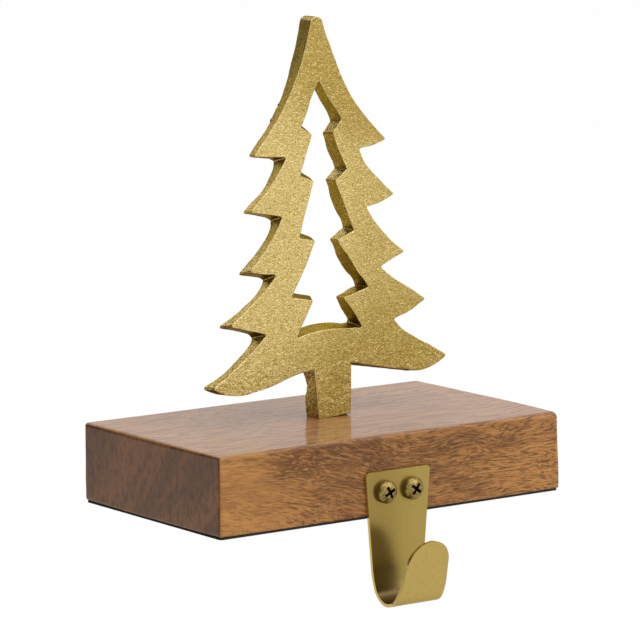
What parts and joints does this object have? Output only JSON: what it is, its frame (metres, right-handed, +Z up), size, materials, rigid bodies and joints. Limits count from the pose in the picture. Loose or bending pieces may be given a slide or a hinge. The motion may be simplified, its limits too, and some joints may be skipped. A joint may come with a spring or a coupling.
{
  "type": "mantel stocking holder",
  "caption": "Cast openwork pine tree on a wooden block with a bent sheet hook at its front, which stands on a mantel and holds a stocking over the edge.",
  "frame": {"origin": "centre of the pad's underside, which rests on the mantel", "axes": "+X to the right along the block's front, +Y away from the hook, +Z up"},
  "size_m": [0.146, 0.1049, 0.2],
  "materials": {
    "wood": "clear satin varnish",
    "pad": "matte foam",
    "cast_gold": "sand-cast, antique gold",
    "hook_gold": "satin gold",
    "screw_brass": "antique brass",
    "zinc_steel": "zinc plated"
  },
  "bodies": {
    "root": {"wood_base": "wood", "base_pad": "pad", "tree": "cast_gold", "hook": "hook_gold", "hook_screw_left": "screw_brass", "hook_screw_right": "screw_brass", "tree_screw": "zinc_steel"}
  },
  "joints": []
}
